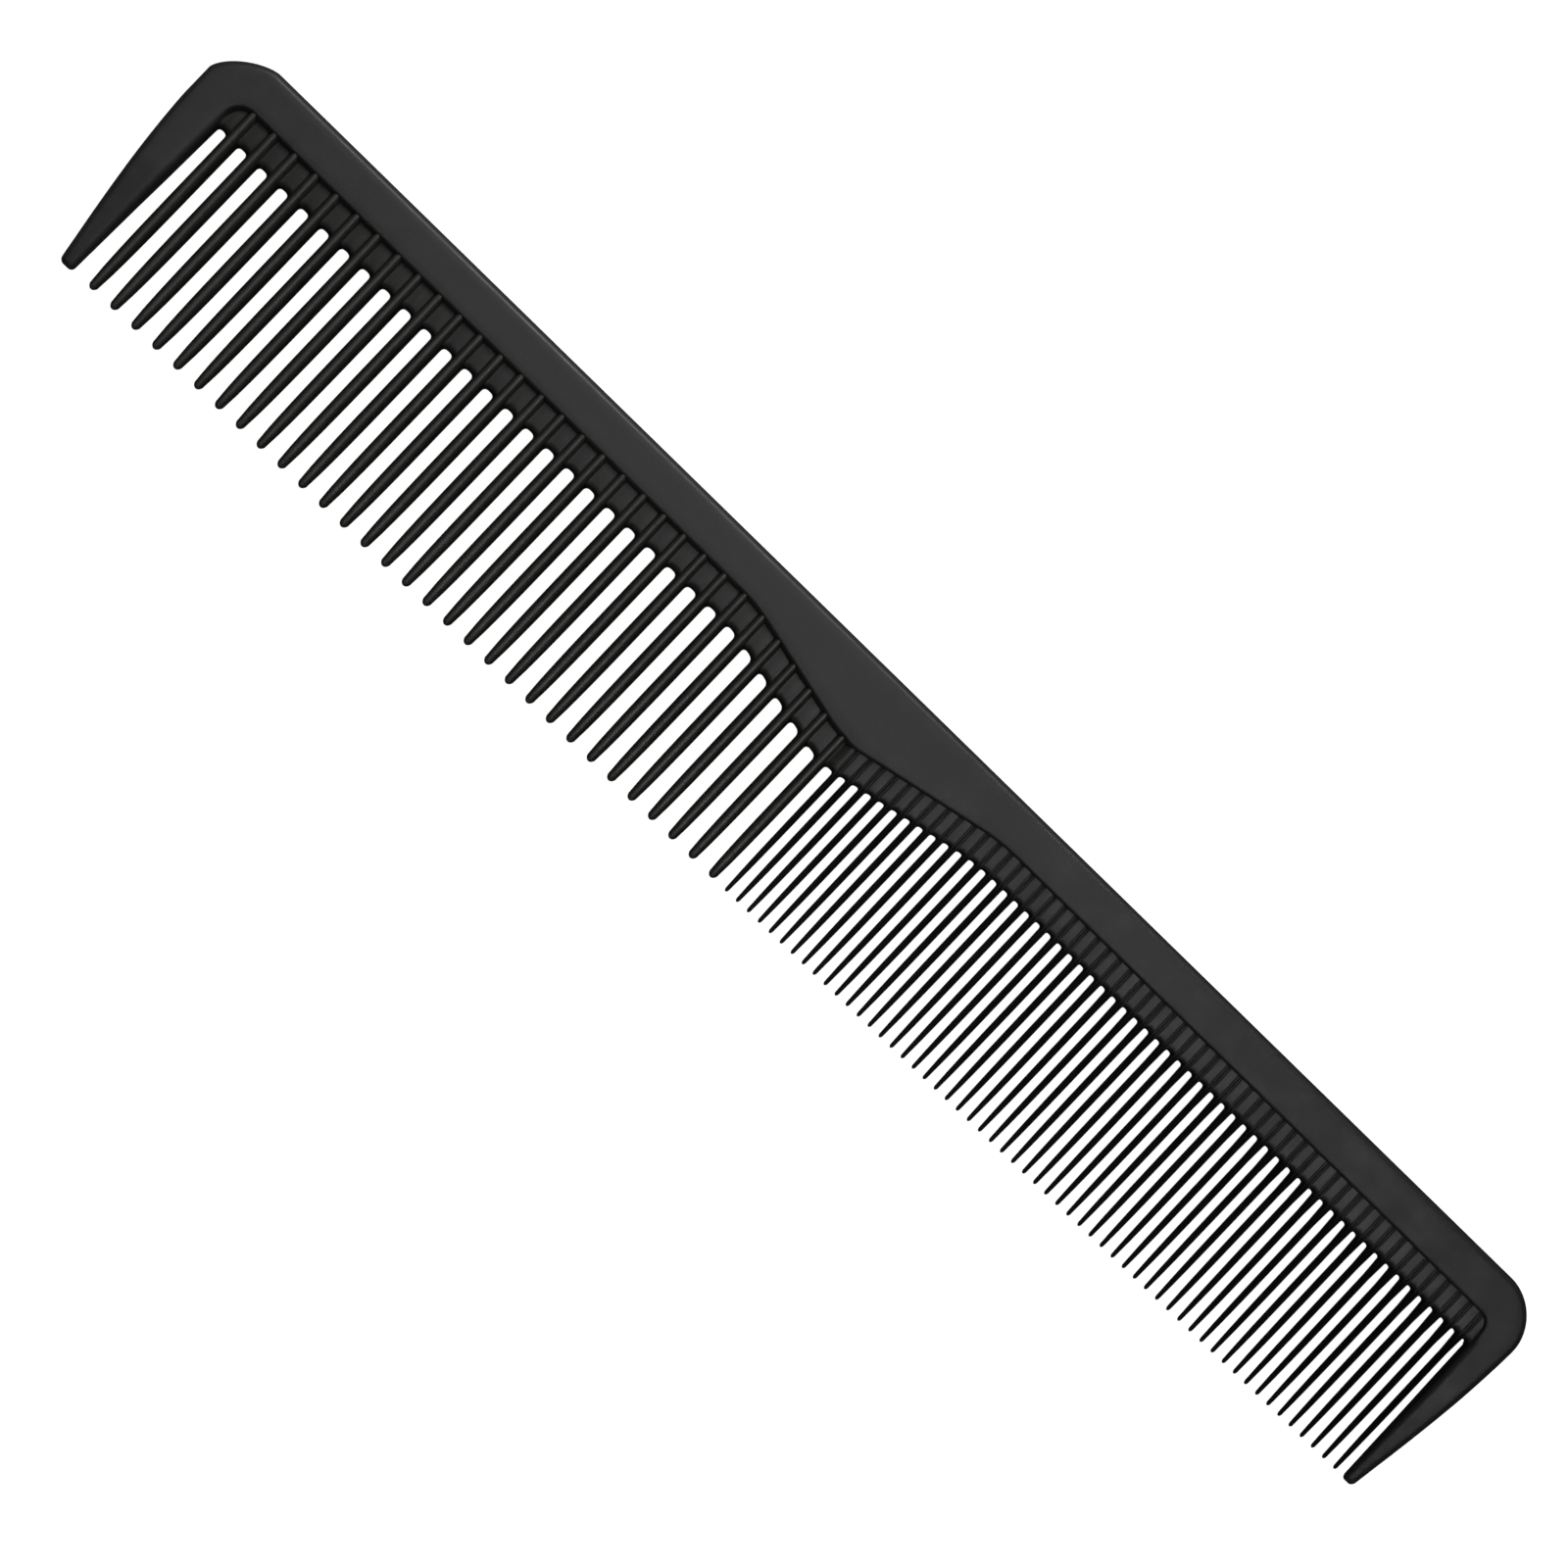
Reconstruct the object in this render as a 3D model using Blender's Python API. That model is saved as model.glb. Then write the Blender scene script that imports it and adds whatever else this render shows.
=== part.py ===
"""Cutting comb with coarse teeth on one half and fine teeth on the other.

The comb lies flat. X runs along it from the coarse end to the fine end, Y runs from
the tooth tips to the back, and Z is its thickness. Every shape is drawn about the
comb's middle plane with Y = 0 at the guard tips, and one empty carries all of them to
their place, so that the comb's box stands centred on the origin.

The real comb is one moulding. Its regions are modelled as pieces of their own, parted
by a hairline: the spine's two halves, a guard tooth at each end, every coarse tooth with
its share of the sunk web, and the fine teeth in groups that share a stretch of web.
"""

import math

import bmesh
import bpy

MM = 0.001

# Overall sizes
LENGTH = 178.0 * MM
WIDTH = 27.9 * MM  # guard tip to back, at the coarse end
BACK_DROP = 2.45 * MM  # how much lower the back is at the fine end
THICKNESS = 4.0 * MM

# Spine: corners are reach along X, reach along Y and fullness (2 is an ellipse)
COARSE_CORNER = (5.5 * MM, 4.2 * MM, 1.5)
FINE_CORNER = (5.0 * MM, 5.0 * MM, 1.9)
CORNER_STEPS = 7
BACK_ROUND = 0.7 * MM
BACK_ROUND_STEPS = 3

# Depth of the slot roots under the back: two levels with a V between them
COARSE_DEPTH = 7.8 * MM
FINE_DEPTH = 7.5 * MM
DIP_DEPTH = 11.25 * MM
DIP_X = 0.6 * MM
DIP_COARSE_REACH = 15.0 * MM
DIP_FINE_REACH = 18.0 * MM
DIP_ROUND = 2.2 * MM
ARCH_FULLNESS = 2.9  # of the slots' arched roots; 2 is half round

# Sunk web between the teeth, and the ribs that carry the teeth up through it
WEB_HEIGHT = 3.15 * MM
COARSE_WEB_SINK = 0.85 * MM
FINE_WEB_SINK = 0.34 * MM
RIB_SINK = 0.2 * MM

# Guard teeth
COARSE_GUARD_WIDTH = 4.63 * MM
FINE_GUARD_WIDTH = 3.82 * MM
COARSE_GUARD_TIP_WIDTH = 1.65 * MM
FINE_GUARD_TIP_WIDTH = 1.3 * MM
END_SWEEP = 2.35 * MM
END_SWEEP_POWER = 1.4
GUARD_TAPER_START = 13.0 * MM
GUARD_TIP_THICKNESS = 1.8 * MM
GUARD_TIP_ROUND = 0.5 * MM
GUARD_STATIONS = 8

# Teeth: the counts follow from the length, the pitches and the end slots
COARSE_PITCH = 2.77 * MM
COARSE_SPREAD = 0.35 * MM  # how far the row's middle is shifted towards the fine end
COARSE_FIRST_WIDTH = 1.58 * MM
COARSE_LAST_WIDTH = 1.36 * MM
COARSE_CREST_SHARE = 0.35
COARSE_ARCH_STEPS = 3
COARSE_END_SLOT = 1.05 * MM
CHANGE_SLOT = 0.98 * MM
FINE_PITCH = 1.485 * MM
FINE_SPREAD = -0.2 * MM
FINE_WIDTH = 0.73 * MM
FINE_CREST_SHARE = 0.0
FINE_ARCH_STEPS = 2
FINE_END_SLOT = 0.56 * MM
FINE_GROUP = 4
TIP_HEIGHT = 0.08 * MM
TOOTH_TIP_THICKNESS = 1.3 * MM
TOOTH_NARROWING = ((4.5 * MM, 0.84), (0.9 * MM, 0.66), (0.0, 0.36))  # above the tip

# Hairline left where one moulded region ends and the next begins
HAIRLINE = 0.05 * MM

CHARCOAL = (0.032, 0.032, 0.031, 1.0)
TOOTH_CHARCOAL = (0.040, 0.040, 0.036, 1.0)
MOULDED_ROUGHNESS = 0.42
SHARP_ANGLE = math.radians(30)
SAME_POINT = 1e-7
FLAT_ANGLE = math.radians(0.2)

# Sizes that follow
FINE_END_WIDTH = WIDTH - BACK_DROP
HALF = LENGTH / 2
BACK_START = COARSE_CORNER[0] - HALF
BACK_END = HALF - FINE_CORNER[0]
SWEEP_TOP = FINE_END_WIDTH - FINE_CORNER[1]
COARSE_GUARD_EDGE = COARSE_GUARD_WIDTH - HALF
FINE_GUARD_EDGE = HALF - FINE_GUARD_WIDTH
RIB_THICKNESS = THICKNESS - 2 * RIB_SINK
COARSE_WEB_SHARE = (THICKNESS - 2 * COARSE_WEB_SINK) / RIB_THICKNESS
FINE_WEB_SHARE = (THICKNESS - 2 * FINE_WEB_SINK) / RIB_THICKNESS


def back_height(x):
    """The straight back, highest at the coarse corner."""
    slope = (WIDTH - FINE_END_WIDTH) / (BACK_END - BACK_START)
    return WIDTH - slope * (x - BACK_START)


def hinge(distance):
    """0 before a kink and the distance after it, with the kink rounded by a parabola."""
    if distance <= -DIP_ROUND:
        return 0.0
    if distance >= DIP_ROUND:
        return distance
    return (distance + DIP_ROUND) ** 2 / (4 * DIP_ROUND)


def slot_depth(x):
    """Depth of the slot roots under the back: two levels with a rounded V between."""
    fall = (DIP_DEPTH - COARSE_DEPTH) / DIP_COARSE_REACH
    rise = (DIP_DEPTH - FINE_DEPTH) / DIP_FINE_REACH
    down = fall * hinge(x - DIP_X + DIP_COARSE_REACH)
    turn = (fall + rise) * hinge(x - DIP_X)
    up = rise * hinge(x - DIP_X - DIP_FINE_REACH)
    return COARSE_DEPTH + down - turn + up


def gullet(x):
    """Height of the slot roots."""
    return back_height(x) - slot_depth(x)


def border(x):
    """Height of the step between the sunk web and the full-thickness back."""
    return gullet(x) + WEB_HEIGHT


def end_inset(y):
    """How far the comb's end has swept in at one height."""
    below = max(0.0, SWEEP_TOP - y) / SWEEP_TOP
    return END_SWEEP * below**END_SWEEP_POWER


def tooth_thickness(y):
    """Crest-to-crest thickness, from the tip straight up to the border."""
    share = (y - TIP_HEIGHT) / (border(BACK_START) - TIP_HEIGHT)
    return TOOTH_TIP_THICKNESS + share * (RIB_THICKNESS - TOOTH_TIP_THICKNESS)


def guard_thickness(y):
    """Full thickness down to the taper, then straight to the tip."""
    share = min(1.0, y / GUARD_TAPER_START)
    return GUARD_TIP_THICKNESS + share * (THICKNESS - GUARD_TIP_THICKNESS)


def superellipse(share, fullness):
    """A point of a unit quarter, at a share of the turn from (0, 1) to (1, 0)."""
    angle = math.pi / 2 * share
    return math.sin(angle) ** (2 / fullness), math.cos(angle) ** (2 / fullness)


def even_steps(first, last, pitch):
    """Points from first to last, both included, spaced as near to pitch as they fit."""
    count = max(1, round((last - first) / pitch))
    return [first + (last - first) * step / count for step in range(count + 1)]


def graded_steps(first, last, pitch, spread):
    """Even steps shifted by a parabola that is spread high in the middle of the row."""
    points = []
    for point in even_steps(first, last, pitch):
        share = (point - first) / (last - first)
        points.append(point + spread * 4 * share * (1 - share))
    return points


def coarse_teeth():
    """Middle X, root width, crest share, web share and arch steps of every coarse tooth.

    The crest share is of the width. The web share is the thickness of the web, and of
    the tooth's upright flank, as a share of the thickness at the crest.
    """
    first = COARSE_GUARD_EDGE + COARSE_END_SLOT + COARSE_FIRST_WIDTH / 2
    middles = graded_steps(first, DIP_X, COARSE_PITCH, COARSE_SPREAD)
    teeth = []
    for middle in middles:
        share = (middle - first) / (DIP_X - first)
        width = COARSE_FIRST_WIDTH + share * (COARSE_LAST_WIDTH - COARSE_FIRST_WIDTH)
        shares = (COARSE_CREST_SHARE, COARSE_WEB_SHARE)
        teeth.append((middle, width, *shares, COARSE_ARCH_STEPS))
    return teeth


def fine_teeth():
    """The same for every fine tooth."""
    first = DIP_X + COARSE_LAST_WIDTH / 2 + CHANGE_SLOT + FINE_WIDTH / 2
    last = FINE_GUARD_EDGE - FINE_END_SLOT - FINE_WIDTH / 2
    middles = graded_steps(first, last, FINE_PITCH, FINE_SPREAD)
    rest = (FINE_WIDTH, FINE_CREST_SHARE, FINE_WEB_SHARE, FINE_ARCH_STEPS)
    return [(middle, *rest) for middle in middles]


def slot_list(teeth):
    """Left and right edge of every slot, the two beside the guards included."""
    edges = [COARSE_GUARD_EDGE]
    for middle, width, *_ in teeth:
        edges += [middle - width / 2, middle + width / 2]
    edges.append(FINE_GUARD_EDGE)
    return list(zip(edges[0::2], edges[1::2]))


def side_outline(slot, direction, web_end, steps):
    """One side of a tooth's share of web: its upright end, then half of a slot's arch.

    The arch is a superellipse hung from the gullet line, so it leans where that slopes.
    """
    middle = (slot[0] + slot[1]) / 2
    reach = (slot[1] - slot[0]) / 2
    points = [(web_end, border(web_end) - HAIRLINE), (web_end, gullet(web_end))]
    for step in range(steps + 1):
        across, down = superellipse(step / steps, ARCH_FULLNESS)
        x = middle - direction * reach * across
        points.append((x, gullet(x) - reach * (1 - down)))
    return points


def ring(right, left, web_share):
    """Twelve points round a plus-shaped section, given edge, foot and crest per side."""
    front = [*right, *reversed(left)]
    shares = (web_share, web_share, 1.0, 1.0, web_share, web_share)
    top = []
    for (x, y), share in zip(front, shares):
        top.append((x, y, tooth_thickness(y) * share / 2))
    return top + [(x, y, -z) for x, y, z in reversed(top)]


def web_ring(tooth, right_point, left_point, at_border):
    """A section through the rib and the web on either side of it."""
    middle, width, crest_share, web_share, _ = tooth
    sides = []
    for sign, (x, y) in ((1, right_point), (-1, left_point)):
        foot = middle + sign * width / 2
        crest = middle + sign * crest_share * width / 2
        foot_y = border(foot) - HAIRLINE if at_border else y
        crest_y = border(middle) - HAIRLINE if at_border else (right_point[1] + left_point[1]) / 2
        sides.append(((x, y), (foot, foot_y), (crest, crest_y)))
    return ring(*sides, web_share)


def tooth_ring(tooth, height, share):
    """A section through the free tooth, where foot and edge are one corner."""
    middle, width, crest_share, web_share, _ = tooth
    y = TIP_HEIGHT + height
    sides = []
    for sign in (1, -1):
        edge = middle + sign * share * width / 2
        crest = middle + sign * crest_share * share * width / 2
        sides.append(((edge, y), (edge, y), (crest, y)))
    return ring(*sides, web_share)


def add_tooth(bm, rings, open_left, open_right):
    """Skins one tooth's rings; an open side is where the next tooth's web joins on."""
    loops = [[bm.verts.new(point) for point in points] for points in rings]
    count = len(loops[0])
    left_out = []
    if open_right:
        left_out.append(count - 1)
    if open_left:
        left_out.append(count // 2 - 1)
    for level, (upper, lower) in enumerate(zip(loops, loops[1:])):
        for first in range(count):
            if level == 0 and first in left_out:
                continue
            second = (first + 1) % count
            bm.faces.new((upper[first], upper[second], lower[second], lower[first]))
    bm.faces.new(loops[0])
    bm.faces.new(loops[-1])


def web_end(slots, index, direction):
    """Where a node's web ends: at the guard, or half a hairline from the next node."""
    if index == 0:
        return slots[0][0] + HAIRLINE
    if index == len(slots) - 1:
        return slots[-1][1] - HAIRLINE
    return sum(slots[index]) / 2 - direction * HAIRLINE / 2


def make_teeth(teeth, slots, first, count, name):
    """One node: a run of teeth that share their web, parted from its neighbours."""
    bm = bmesh.new()
    last = first + count - 1
    for index in range(first, last + 1):
        tooth = teeth[index]
        left_end = sum(slots[index]) / 2
        right_end = sum(slots[index + 1]) / 2
        if index == first:
            left_end = web_end(slots, index, -1)
        if index == last:
            right_end = web_end(slots, index + 1, 1)
        left = side_outline(slots[index], -1, left_end, tooth[-1])
        right = side_outline(slots[index + 1], 1, right_end, tooth[-1])
        rings = []
        for right_point, left_point in zip(right, left):
            rings.append(web_ring(tooth, right_point, left_point, not rings))
        for height, share in TOOTH_NARROWING:
            rings.append(tooth_ring(tooth, height, share))
        add_tooth(bm, rings, index != first, index != last)
    return finish_piece(bm, name, TOOTH_CHARCOAL)


def corner_points(corner):
    """A superellipse quarter, from the end to the back, as insets from both."""
    reach_x, reach_y, fullness = corner
    points = []
    for step in range(CORNER_STEPS + 1):
        up, along = superellipse(step / CORNER_STEPS, fullness)
        points.append((reach_x * (1 - along), reach_y * (1 - up)))
    return points


def make_spine_half(name, side, corner, top, guard_width, dip_reach):
    """Half of the back: a full-thickness bar, rounded outside, down to the sunk web."""
    guard_edge = side * (HALF - guard_width)
    parting = gullet(guard_edge) + HAIRLINE
    middle = DIP_X + side * HAIRLINE / 2
    outer = [(side * (HALF - end_inset(parting)), parting)]
    outer += [(side * (HALF - inset), top - drop) for inset, drop in corner_points(corner)]
    outer.append((middle, back_height(middle)))
    curve_end = DIP_X + side * (dip_reach + DIP_ROUND)
    curved = even_steps(middle, curve_end, side * FINE_PITCH / 2)
    inner = [(x, border(x)) for x in (*curved, guard_edge)]
    inner.append((guard_edge, parting))
    bm = bmesh.new()
    lower = [bm.verts.new((x, y, -THICKNESS / 2)) for x, y in outer + inner]
    upper = [bm.verts.new((x, y, THICKNESS / 2)) for x, y in outer + inner]
    bm.faces.new(reversed(lower))
    bm.faces.new(upper)
    for first in range(len(lower)):
        second = (first + 1) % len(lower)
        bm.faces.new((lower[first], lower[second], upper[second], upper[first]))
    rounded = []
    for level in (lower, upper):
        for start, end in zip(level[: len(outer)], level[1 : len(outer)]):
            rounded.append(bm.edges.get((start, end)))
    bmesh.ops.bevel(
        bm,
        geom=rounded,
        offset=BACK_ROUND,
        segments=BACK_ROUND_STEPS,
        profile=0.5,
        affect="EDGES",
    )
    return finish_piece(bm, name, CHARCOAL)


def guard_section(outer, inner, y):
    """A flat bar, rounded towards the end of the comb and square towards the teeth."""
    half = guard_thickness(y) / 2
    radius = min(BACK_ROUND, half * 0.8, abs(outer - inner) * 0.45)
    centre = outer - math.copysign(radius, outer)
    arc = []
    for step in range(BACK_ROUND_STEPS + 1):
        angle = math.pi / 2 * step / BACK_ROUND_STEPS
        x = centre + math.copysign(radius * math.sin(angle), outer)
        arc.append((x, y, half - radius * (1 - math.cos(angle))))
    under = [(x, y, -z) for x, y, z in reversed(arc)]
    return [(inner, y, half), *arc, *under, (inner, y, -half)]


def make_guard(name, side, root_width, tip_width):
    """A guard tooth, wide at its root, swept in and thinned towards its blunt tip."""
    top = gullet(side * (HALF - root_width))
    heights = even_steps(top, GUARD_TIP_ROUND, (GUARD_TIP_ROUND - top) / GUARD_STATIONS)
    tip_edge = HALF - END_SWEEP - tip_width
    bm = bmesh.new()
    loops = []
    for y in [*heights, 0.0]:
        fall = 1 - y / top
        inner = (HALF - root_width) * (1 - fall) + tip_edge * fall
        outer = HALF - end_inset(y)
        if y == 0.0:
            inner += GUARD_TIP_ROUND / 2
            outer -= GUARD_TIP_ROUND / 2
        section = guard_section(side * outer, side * inner, y)
        loops.append([bm.verts.new(point) for point in section])
    for upper, lower in zip(loops, loops[1:]):
        for first in range(len(upper)):
            second = (first + 1) % len(upper)
            bm.faces.new((upper[first], upper[second], lower[second], lower[first]))
    bm.faces.new(loops[0])
    bm.faces.new(loops[-1])
    return finish_piece(bm, name, CHARCOAL)


def finish_piece(bm, name, colour):
    """Merges corners that coincide, joins flat faces and makes the named object."""
    bmesh.ops.remove_doubles(bm, verts=bm.verts, dist=SAME_POINT)
    bmesh.ops.dissolve_limit(bm, angle_limit=FLAT_ANGLE, verts=bm.verts, edges=bm.edges)
    bmesh.ops.triangulate(bm, faces=bm.faces)
    bmesh.ops.recalc_face_normals(bm, faces=bm.faces)
    mesh = bpy.data.meshes.new(name)
    bm.to_mesh(mesh)
    bm.free()
    mesh.materials.append(moulded_plastic(name, colour))
    mesh.shade_smooth()
    mesh.set_sharp_from_angle(angle=SHARP_ANGLE)
    piece = bpy.data.objects.new(name, mesh)
    bpy.context.scene.collection.objects.link(piece)
    return piece


def moulded_plastic(name, colour):
    """Satin charcoal plastic for one piece."""
    material = bpy.data.materials.new(name + "_plastic")
    material.use_nodes = True
    shader = material.node_tree.nodes["Principled BSDF"]
    shader.inputs["Base Color"].default_value = colour
    shader.inputs["Roughness"].default_value = MOULDED_ROUGHNESS
    shader.inputs["Metallic"].default_value = 0.0
    return material


def main():
    for leftover in list(bpy.data.objects):
        bpy.data.objects.remove(leftover, do_unlink=True)
    coarse = coarse_teeth()
    fine = fine_teeth()
    teeth = coarse + fine
    slots = slot_list(teeth)
    coarse_half = (-1, COARSE_CORNER, WIDTH, COARSE_GUARD_WIDTH, DIP_COARSE_REACH)
    fine_half = (1, FINE_CORNER, FINE_END_WIDTH, FINE_GUARD_WIDTH, DIP_FINE_REACH)
    pieces = [
        make_spine_half("spine_coarse_half", *coarse_half),
        make_spine_half("spine_fine_half", *fine_half),
        make_guard("guard_coarse_end", -1, COARSE_GUARD_WIDTH, COARSE_GUARD_TIP_WIDTH),
        make_guard("guard_fine_end", 1, FINE_GUARD_WIDTH, FINE_GUARD_TIP_WIDTH),
    ]
    for index in range(len(coarse)):
        pieces.append(make_teeth(teeth, slots, index, 1, f"coarse_tooth_{index + 1:02d}"))
    for group in range(math.ceil(len(fine) / FINE_GROUP)):
        first = len(coarse) + group * FINE_GROUP
        count = min(FINE_GROUP, len(teeth) - first)
        pieces.append(make_teeth(teeth, slots, first, count, f"fine_teeth_{group + 1:02d}"))
    frame = bpy.data.objects.new("comb_frame", None)
    bpy.context.scene.collection.objects.link(frame)
    frame.location = (0, -WIDTH / 2, THICKNESS / 2)
    for piece in pieces:
        piece.parent = frame


main()
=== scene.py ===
"""Looks of a one-piece cutting comb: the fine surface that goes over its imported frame.

Shapes are drawn about the comb's middle plane, with X along the comb, Y = 0 at the guard
tips and Y growing towards the back. CombPlan.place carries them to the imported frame.
"""
import logging
import math
from dataclasses import dataclass, field
from enum import Enum

import bmesh
import bpy
import numpy as np
from mathutils import Matrix, Vector


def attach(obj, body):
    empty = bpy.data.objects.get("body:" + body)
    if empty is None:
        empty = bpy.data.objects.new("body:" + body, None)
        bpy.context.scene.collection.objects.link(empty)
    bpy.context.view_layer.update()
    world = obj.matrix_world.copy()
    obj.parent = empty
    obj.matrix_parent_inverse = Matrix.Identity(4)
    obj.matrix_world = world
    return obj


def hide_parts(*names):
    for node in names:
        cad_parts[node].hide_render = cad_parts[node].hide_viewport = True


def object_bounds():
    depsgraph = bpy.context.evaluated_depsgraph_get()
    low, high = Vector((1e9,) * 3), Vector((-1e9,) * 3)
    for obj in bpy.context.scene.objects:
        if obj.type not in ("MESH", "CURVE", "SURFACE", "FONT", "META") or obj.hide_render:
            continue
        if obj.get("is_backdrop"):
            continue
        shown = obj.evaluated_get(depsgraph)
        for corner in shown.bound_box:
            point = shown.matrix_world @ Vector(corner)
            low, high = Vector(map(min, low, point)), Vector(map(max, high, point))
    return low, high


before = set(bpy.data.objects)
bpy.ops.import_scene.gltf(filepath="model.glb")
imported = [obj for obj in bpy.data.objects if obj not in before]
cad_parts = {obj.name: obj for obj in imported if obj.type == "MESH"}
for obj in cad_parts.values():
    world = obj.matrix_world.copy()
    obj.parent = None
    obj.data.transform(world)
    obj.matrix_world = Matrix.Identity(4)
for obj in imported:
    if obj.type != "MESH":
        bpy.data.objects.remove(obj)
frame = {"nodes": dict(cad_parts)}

LOG = logging.getLogger("comb")
MM = 0.001
BODY = "root"
Colour = tuple[float, float, float, float]
RIGHT_ANGLE = math.pi / 2
MERGE_DISTANCE = 0.0001 * MM
CRISP_ANGLE = math.radians(38.0)
TINY = 1e-9  # keeps a width that is divided by away from zero


# ---------------------------------------------------------------- plan of the comb


def ease(share: np.ndarray) -> np.ndarray:
    """Smooth step from 0 to 1."""
    share = np.clip(share, 0.0, 1.0)
    return share * share * (3 - 2 * share)


class End(Enum):
    """The comb's two ends, or the halves they belong to, valued by their side of the middle."""

    COARSE = -1
    FINE = 1


@dataclass(frozen=True)
class Corner:
    """A rounded corner of the outline: a superellipse quarter."""

    reach_x: float
    reach_y: float
    fullness: float

    def insets(self, steps: int) -> tuple[np.ndarray, np.ndarray]:
        """Insets from the end and from the back, walking from the end to the back.

        With the angle turning from 0 to a right angle, each inset is its reach times one
        minus the cosine or the sine raised to two over the fullness.

        Args:
            steps: number of stretches along the corner.

        Returns:
            Inset from the end and inset from the back, one of each per point.
        """
        turn = np.linspace(0, RIGHT_ANGLE, steps + 1)
        power = 2 / self.fullness
        across = self.reach_x * (1 - np.clip(np.cos(turn), 0, 1) ** power)
        down = self.reach_y * (1 - np.clip(np.sin(turn), 0, 1) ** power)
        return across, down


@dataclass(frozen=True)
class Slot:
    """The gap between two teeth: straight sides under an arched root."""

    left: float
    right: float

    @property
    def middle(self) -> float:
        """X of the slot's middle line."""
        return (self.left + self.right) / 2

    @property
    def radius(self) -> float:
        """Half the slot's width, which is also how far its arched root comes down."""
        return (self.right - self.left) / 2


@dataclass(frozen=True)
class CombPlan:
    """The comb's plan and thickness, from its packed box and its own few sizes."""

    length: float
    width: float
    thickness: float
    back_drop: float = 2.45 * MM
    coarse_corner: Corner = Corner(5.5 * MM, 4.2 * MM, 1.5)
    fine_corner: Corner = Corner(5.0 * MM, 5.0 * MM, 1.9)
    coarse_depth: float = 7.8 * MM
    fine_depth: float = 7.5 * MM
    dip_depth: float = 11.25 * MM
    dip_x: float = 0.6 * MM
    dip_coarse_reach: float = 15.0 * MM
    dip_fine_reach: float = 18.0 * MM
    dip_round: float = 2.2 * MM
    arch_fullness: float = 2.9
    web_height: float = 2.95 * MM
    coarse_web_sink: float = 0.85 * MM
    fine_web_sink: float = 0.34 * MM
    sink_change: float = 1.6 * MM
    rib_sink: float = 0.2 * MM
    end_sweep: float = 2.35 * MM
    end_sweep_power: float = 1.4
    tip_height: float = 0.08 * MM
    tooth_tip_thickness: float = 1.3 * MM

    @classmethod
    def from_frame(cls) -> "CombPlan":
        """Reads length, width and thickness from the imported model's box."""
        low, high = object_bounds()
        return cls(*(high - low))

    def place(self, points: np.ndarray) -> np.ndarray:
        """Carries points from the plan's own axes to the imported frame."""
        return points + np.array((0.0, -self.width / 2, self.thickness / 2))

    def corner(self, end: End) -> Corner:
        """The outline's corner at one end."""
        return self.coarse_corner if end is End.COARSE else self.fine_corner

    def end_width(self, end: End) -> float:
        """Height of the back where the corner of one end begins."""
        return self.width if end is End.COARSE else self.width - self.back_drop

    @property
    def back_span(self) -> tuple[float, float]:
        """X where the corner of each end meets the back."""
        half = self.length / 2
        return self.coarse_corner.reach_x - half, half - self.fine_corner.reach_x

    def back(self, x: np.ndarray) -> np.ndarray:
        """Height of the back: a straight line between the starts of its two corners."""
        start, stop = self.back_span
        return self.width - self.back_drop * (x - start) / (stop - start)

    def kink(self, distance: np.ndarray) -> np.ndarray:
        """0 before a kink and the distance after it, rounded by a parabola between."""
        curve = np.clip(distance + self.dip_round, 0, 2 * self.dip_round) ** 2
        return curve / (4 * self.dip_round) + np.clip(distance - self.dip_round, 0, None)

    def gullet(self, x: np.ndarray) -> np.ndarray:
        """Height of the slot roots: the back less a depth of two levels and a V between.

        Args:
            x: places along the comb.

        Returns:
            The height at each.
        """
        fall = (self.dip_depth - self.coarse_depth) / self.dip_coarse_reach
        rise = (self.dip_depth - self.fine_depth) / self.dip_fine_reach
        depth = self.coarse_depth + fall * self.kink(x - self.dip_x + self.dip_coarse_reach)
        depth = depth - (fall + rise) * self.kink(x - self.dip_x)
        depth = depth + rise * self.kink(x - self.dip_x - self.dip_fine_reach)
        return self.back(x) - depth

    def arch(self, slot: Slot, sign: int, turn: np.ndarray) -> tuple[np.ndarray, np.ndarray]:
        """Half of a slot's arched root: a superellipse quarter hung from the gullet line.

        Args:
            slot: the slot.
            sign: 1 for the half next to the tooth on the slot's left, -1 for the other.
            turn: angle from the crown down to the flank.

        Returns:
            X and Y of the arch at each angle.
        """
        power = 2 / self.arch_fullness
        x = slot.middle - sign * slot.radius * np.sin(turn) ** power
        drop = slot.radius * (1 - np.clip(np.cos(turn), 0, 1) ** power)
        return x, self.gullet(x) - drop

    def border(self, x: np.ndarray) -> np.ndarray:
        """Height of the step from the sunk web up to the full-thickness back."""
        return self.gullet(x) + self.web_height

    def end_inset(self, y: np.ndarray) -> np.ndarray:
        """How far an end has swept in: a power of the distance below the corners."""
        top = self.end_width(End.FINE) - self.fine_corner.reach_y
        return self.end_sweep * (np.clip(top - y, 0, None) / top) ** self.end_sweep_power

    def crest_height(self, y: np.ndarray) -> np.ndarray:
        """Half thickness at a tooth's crest: a straight line from tip to border.

        Args:
            y: heights above the guard tips.

        Returns:
            Half the thickness at each.
        """
        full = self.thickness / 2 - self.rib_sink
        tip = self.tooth_tip_thickness / 2
        share = (y - self.tip_height) / (self.width - self.coarse_depth + self.web_height)
        return tip + np.clip(share, 0, 1) * (full - tip)

    def web_sink(self, x: np.ndarray) -> np.ndarray:
        """Depth of the web under the face: it eases from coarse to fine past the dip."""
        share = ease((x - self.dip_x) / self.sink_change)
        return self.coarse_web_sink + share * (self.fine_web_sink - self.coarse_web_sink)

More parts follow.
